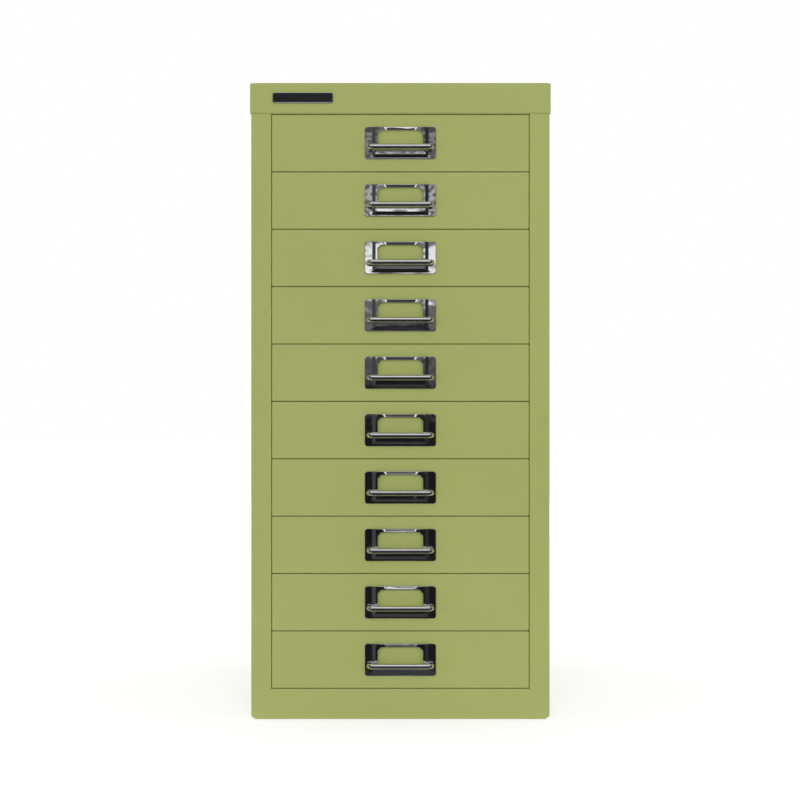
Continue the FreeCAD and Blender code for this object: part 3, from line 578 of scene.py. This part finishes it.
MIDDLE_HEIGHT = 0.3              # of the cabinet: lamps point there, and elevations are seen from there
FLOOR_SIDE = 30.0
FLOOR_COLOUR = 0.60
FLOOR_NEAR = 0.15                # distance from the cabinet's middle up to which the floor counts as close
FLOOR_FAR = 0.9                  # and from which it doesn't
FLOOR_FILL_GLOW = 0.30              # painted fill light: glow the floor gives off to matt surfaces besides what it reflects, with no lamp behind it
FLOOR_FILL_GLOW_NEAR = 0.58         # the same painted fill glow, close to the cabinet
FLOOR_SHADE_NEAR = 0.12          # painted shade: taken off the floor's own white close to the cabinet, which also lets its real shadow show there
UNDER_START = 0.03               # none of the painted fill glow comes from the floor further than this inside the cabinet's box
UNDER_END = 0.005                # and all of it does from here on
SKY_LOW = 0.22                   # what the world gives to matt surfaces, level with them
SKY_HIGH = 0.66                  # and from overhead

# Lamps: place, width, height and power. FILL and SIDE stand there twice, mirrored.
KEY = ((0.0, -5.6, 3.4), 3.0, 2.2, 128.0)
FILL = ((2.6, -2.4, 0.25), 1.2, 0.5, 12.0)
SIDE = ((3.2, 0.9, 0.7), 1.6, 1.0, 16.0)
BACK = ((0.0, 3.6, 1.2), 1.6, 1.2, 22.0)

# What the chrome mirrors: a dark flag, part of a cylinder round the front of the cabinet, on a
# fan-shaped mat and under a dull ceiling. Nothing but reflections shows them.
STAGE_LIFT = 0.001               # of the mat and of the flag's lower edge, over the floor
FLAG_RADIUS = 2.0
FLAG_START = 0.190               # from the cabinet's middle to the flag's axis and the mat's point
FLAG_HALF_ANGLE = 104.0
FLAG_STEPS = 104
FLAG_TOP = 33.0                  # elevation of its upper edge in the middle
FLAG_TOP_ASIDE = 62.0
FLAG_TOP_TURNS = (8.0, 38.0)     # angles between which that edge rises
FLAG_SIDES = (0.55, 1.1)         # distances from the middle between which the sides' glow takes over
FLAG_GLOW = ((0.0, 0.010), (0.24, 0.012), (0.30, 0.035), (0.35, 0.085), (0.42, 0.13), (0.50, 0.16),
             (0.53, 0.50), (0.555, 1.0), (0.60, 1.0), (0.625, 0.15), (0.65, 0.09), (0.675, 0.50),
             (0.70, 0.45), (0.72, 0.12), (0.77, 0.10), (0.79, 0.34), (0.82, 0.10), (0.95, 0.06),
             (1.1, 0.055))       # height and how bright it is there, in the middle
GLOW_LEFT = 0.064                # of flag and mat alike, away from the middle
GLOW_RIGHT = 0.030
PATCH_ASIDE = (0.85, 1.75)       # where the bright patch on either side lies, from the middle
PATCH_HEIGHT = (0.95, 2.9)       # and above the floor
PATCH_EDGE = 0.08                # width in which it fades
MAT_HALF_ANGLE = 88.0
MAT_STEPS = 40
MAT_SIDES = (0.15, 0.35)         # as FLAG_SIDES
MAT_GLOW_NEAR = 0.050
MAT_GLOW_FAR = 0.012
MAT_FAR = (0.26, 0.32)           # distances in front of its point between which it darkens
CEILING_HEIGHT = 2.8
CEILING_EDGE = 68.0              # elevation of its edge
CEILING_STEPS = 48
CEILING_GLOW = 0.30


def seen_directly(tree):
    """1 for rays from the camera or from metal and glass, and 0 for rays that light matt surfaces."""
    path = tree.nodes.new("ShaderNodeLightPath").outputs
    shiny = calculate(tree, "MAXIMUM", path["Is Glossy Ray"], path["Is Transmission Ray"])
    return calculate(tree, "MAXIMUM", path["Is Camera Ray"], shiny)


def build_world():
    """White wherever it is seen, and a soft sky for matt surfaces."""
    world = bpy.data.worlds.new("studio")
    bpy.context.scene.world = world
    world.use_nodes = True
    tree = world.node_tree
    background = tree.nodes["Background"]
    background.inputs["Color"].default_value = (1.0, 1.0, 1.0, 1.0)
    place = tree.nodes.new("ShaderNodeTexCoord")
    split = tree.nodes.new("ShaderNodeSeparateXYZ")
    tree.links.new(place.outputs["Generated"], split.inputs["Vector"])
    sky = calculate(tree, "MULTIPLY_ADD", split.outputs["Z"], SKY_HIGH - SKY_LOW, SKY_LOW)
    strength = calculate(tree, "MAXIMUM", sky, seen_directly(tree))
    tree.links.new(strength, background.inputs["Strength"])


def stage_mesh(name, points, faces, material):
    mesh = bpy.data.meshes.new(name)
    mesh.from_pydata(points, [], faces)
    mesh.materials.append(material)
    piece = bpy.data.objects.new(name, mesh)
    bpy.context.scene.collection.objects.link(piece)
    return piece


def outside_footprint(tree, place):
    """0 under the cabinet and 1 beyond its box."""
    size = tree.nodes.new("ShaderNodeVectorMath")
    size.operation = "ABSOLUTE"
    tree.links.new(place, size.inputs[0])
    split = tree.nodes.new("ShaderNodeSeparateXYZ")
    tree.links.new(size.outputs["Vector"], split.inputs["Vector"])
    edge = cad_box[1]
    past_x = smooth_step(tree, split.outputs["X"], edge.x - UNDER_START, edge.x - UNDER_END)
    past_y = smooth_step(tree, split.outputs["Y"], edge.y - UNDER_START, edge.y - UNDER_END)
    return calculate(tree, "MAXIMUM", past_x, past_y)


def build_floor():
    """Pale floor, as white as the backdrop where no shadow falls, but with a painted shade close to the
    cabinet; it also glows as a painted fill light for matt surfaces.
    """
    material, tree, shader = new_material("studio_floor")
    shader.inputs["Base Color"].default_value = (*grey(FLOOR_COLOUR), 1.0)
    shader.inputs["Roughness"].default_value = 1.0
    shader.inputs["Specular IOR Level"].default_value = 0.0
    shader.inputs["Emission Color"].default_value = (1.0, 1.0, 1.0, 1.0)
    place, _ = object_place(tree)
    distance = tree.nodes.new("ShaderNodeVectorMath")
    distance.operation = "LENGTH"
    tree.links.new(place, distance.inputs[0])
    close = smooth_step(tree, distance.outputs["Value"], FLOOR_FAR, FLOOR_NEAR)
    # Painted fill light: the floor glows for matt surfaces, more so near the cabinet and not at all from
    # under it.
    fill_glow = calculate(tree, "MULTIPLY_ADD", close, FLOOR_FILL_GLOW_NEAR - FLOOR_FILL_GLOW, FLOOR_FILL_GLOW)
    fill_glow = calculate(tree, "MULTIPLY", fill_glow, outside_footprint(tree, place))
    sky_share = FLOOR_COLOUR * (SKY_LOW + 2.0 * SKY_HIGH) / 3.0
    # Painted shade: the floor's own white is lowered close to the cabinet, whether a shadow falls there or
    # not.
    white = calculate(tree, "MULTIPLY_ADD", close, -FLOOR_SHADE_NEAR, 1.0 - sky_share)
    glow = tree.nodes.new("ShaderNodeMix")
    tree.links.new(seen_directly(tree), glow.inputs["Factor"])
    tree.links.new(fill_glow, glow.inputs["A"])
    tree.links.new(white, glow.inputs["B"])
    tree.links.new(glow.outputs["Result"], shader.inputs["Emission Strength"])
    half = FLOOR_SIDE / 2
    corners = [(-half, -half, 0), (half, -half, 0), (half, half, 0), (-half, half, 0)]
    stage_mesh("studio_floor", corners, [(0, 1, 2, 3)], material)


def glow_material(name):
    """A material that only gives light. Its colour socket is left to be set."""
    material, tree, shader = new_material(name)
    shader.inputs["Base Color"].default_value = (0.0, 0.0, 0.0, 1.0)
    shader.inputs["Specular IOR Level"].default_value = 0.0
    shader.inputs["Emission Strength"].default_value = 1.0
    _, parts = object_place(tree)
    return material, tree, shader.inputs["Emission Color"], parts


def between(tree, source, start, end):
    """1 where the source lies between start and end, with soft edges."""
    past_start = smooth_step(tree, source, start, start + PATCH_EDGE)
    before_end = smooth_step(tree, source, end, end - PATCH_EDGE)
    return calculate(tree, "MULTIPLY", past_start, before_end)


def only_in_reflections(piece):
    piece.visible_camera = False
    piece.visible_diffuse = False
    piece.visible_transmission = False
    piece.visible_volume_scatter = False
    piece.visible_shadow = False


def flag_point(degrees, z):
    angle = math.radians(degrees)
    return FLAG_RADIUS * math.sin(angle), -FLAG_START - FLAG_RADIUS * math.cos(angle), z


def glow_ramp(tree, height, glows):
    """Grey that follows a row of (height, glow) pairs."""
    node = tree.nodes.new("ShaderNodeValToRGB")
    top = glows[-1][0]
    for place, _ in glows[1:-1]:
        node.color_ramp.elements.new(place / top)
    for element, (_, glow) in zip(node.color_ramp.elements, glows):
        element.color = (*grey(glow), 1.0)
    tree.links.new(calculate(tree, "MULTIPLY", height, 1.0 / top), node.inputs["Fac"])
    return node.outputs["Color"]


def side_glow(tree, x, middle, start, end):
    """The middle's colour, giving way to the glow of either side between two distances from it."""
    colour = middle
    for direction, glow in ((-1.0, GLOW_LEFT), (1.0, GLOW_RIGHT)):
        aside = smooth_step(tree, calculate(tree, "MULTIPLY", x, direction), start, end)
        colour = mix_colours(tree, aside, colour, grey(glow))
    return colour


def build_dark_flag():
    """Dark studio with a few lit bands in front of the cabinet, and a bright patch on either side."""
    material, tree, glow, (x, _, z) = glow_material("dark_flag")
    bands = side_glow(tree, x, glow_ramp(tree, z, FLAG_GLOW), *FLAG_SIDES)
    aside = between(tree, calculate(tree, "ABSOLUTE", x), *PATCH_ASIDE)
    patch = calculate(tree, "MULTIPLY", aside, between(tree, z, *PATCH_HEIGHT))
    tree.links.new(mix_colours(tree, patch, bands, grey(1.0)), glow)
    points = []
    turn_start, turn_end = FLAG_TOP_TURNS
    for angle in steps(-FLAG_HALF_ANGLE, FLAG_HALF_ANGLE, FLAG_STEPS):
        turned = min(max((abs(angle) - turn_start) / (turn_end - turn_start), 0.0), 1.0)
        elevation = FLAG_TOP + (FLAG_TOP_ASIDE - FLAG_TOP) * turned
        top = MIDDLE_HEIGHT + FLAG_RADIUS * math.tan(math.radians(elevation))
        points += [flag_point(angle, STAGE_LIFT), flag_point(angle, top)]
    faces = [(2 * i, 2 * i + 2, 2 * i + 3, 2 * i + 1) for i in range(FLAG_STEPS)]
    only_in_reflections(stage_mesh("dark_flag", points, faces, material))


def build_dark_mat():
    material, tree, glow, (x, y, _) = glow_material("dark_mat")
    ahead = calculate(tree, "MULTIPLY_ADD", y, -1.0, -FLAG_START)
    middle = mix_colours(tree, smooth_step(tree, ahead, *MAT_FAR), grey(MAT_GLOW_NEAR), grey(MAT_GLOW_FAR))
    tree.links.new(side_glow(tree, x, middle, *MAT_SIDES), glow)
    points = [(0.0, -FLAG_START, STAGE_LIFT)]
    points += [flag_point(angle, STAGE_LIFT) for angle in steps(-MAT_HALF_ANGLE, MAT_HALF_ANGLE, MAT_STEPS)]
    faces = [(0, i, i + 1) for i in range(1, len(points) - 1)]
    only_in_reflections(stage_mesh("dark_mat", points, faces, material))


def build_dull_ceiling():
    material, _, glow, _ = glow_material("dull_ceiling")
    glow.default_value = (*grey(CEILING_GLOW), 1.0)
    reach = (CEILING_HEIGHT - MIDDLE_HEIGHT) / math.tan(math.radians(CEILING_EDGE))
    circle = arc((0.0, 0.0), reach, 0, 360, CEILING_STEPS)[:-1]
    points = [(x, y - FLAG_START, CEILING_HEIGHT) for x, y in circle]
    only_in_reflections(stage_mesh("dull_ceiling", points, [tuple(range(len(points)))], material))


def area_light(name, lamp, side=1):
    """A soft lamp that points at the cabinet's middle, mirrored where side is -1."""
    (x, y, z), width, height, power = lamp
    light = bpy.data.lights.new(name, "AREA")
    light.shape = "RECTANGLE"
    light.size = width
    light.size_y = height
    light.energy = power
    place = Vector((side * x, y, z))
    holder = bpy.data.objects.new(name, light)
    holder.location = place
    holder.rotation_euler = (Vector((0.0, 0.0, MIDDLE_HEIGHT)) - place).to_track_quat("-Z", "Y").to_euler()
    holder.visible_camera = False
    holder.visible_glossy = False
    bpy.context.scene.collection.objects.link(holder)


def build_lights():
    area_light("key_softbox", KEY)
    for side, name in ((-1, "left"), (1, "right")):
        area_light(f"fill_{name}", FILL, side)
        area_light(f"side_{name}", SIDE, side)
    area_light("fill_back", BACK)


def build_camera():
    """Level camera in front of the cabinet, framed as the photo is."""
    low, high = cad_box
    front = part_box("top_cap")[0].y
    pixels_per_metre = (FLOOR_ROW - CAP_TOP_ROW) / (high.z - low.z)
    camera = bpy.data.cameras.new("camera")
    camera.sensor_width = SENSOR_WIDTH
    camera.lens = SENSOR_WIDTH * CAMERA_DISTANCE * pixels_per_metre / IMAGE_SIDE
    middle_row = (CAP_TOP_ROW + FLOOR_ROW) / 2
    x = (IMAGE_SIDE / 2 - MIDDLE_COLUMN) / pixels_per_metre
    z = (low.z + high.z) / 2 + (middle_row - IMAGE_SIDE / 2) / pixels_per_metre
    viewer = bpy.data.objects.new("camera", camera)
    viewer.location = (x, front - CAMERA_DISTANCE, z)
    viewer.rotation_euler = (math.radians(90.0), 0.0, 0.0)
    bpy.context.scene.collection.objects.link(viewer)
    bpy.context.scene.camera = viewer


chrome = chrome_plate()
enamel = stove_enamel()
dress_cad_nodes({"green_paint": enamel, "chrome": chrome, "zinc": zinc_plate(),
                 "feet_plastic": black_plastic(), "badge": chrome})
for number, drawer in enumerate(DRAWERS):
    build_label_plate(drawer, SEED_STEP * number, chrome)
    build_pull(drawer, chrome)
build_badge(chrome, black_enamel())
build_world()
build_floor()
build_dark_flag()
build_dark_mat()
build_dull_ceiling()
build_lights()
build_camera()
bpy.context.scene.view_settings.view_transform = "Standard"
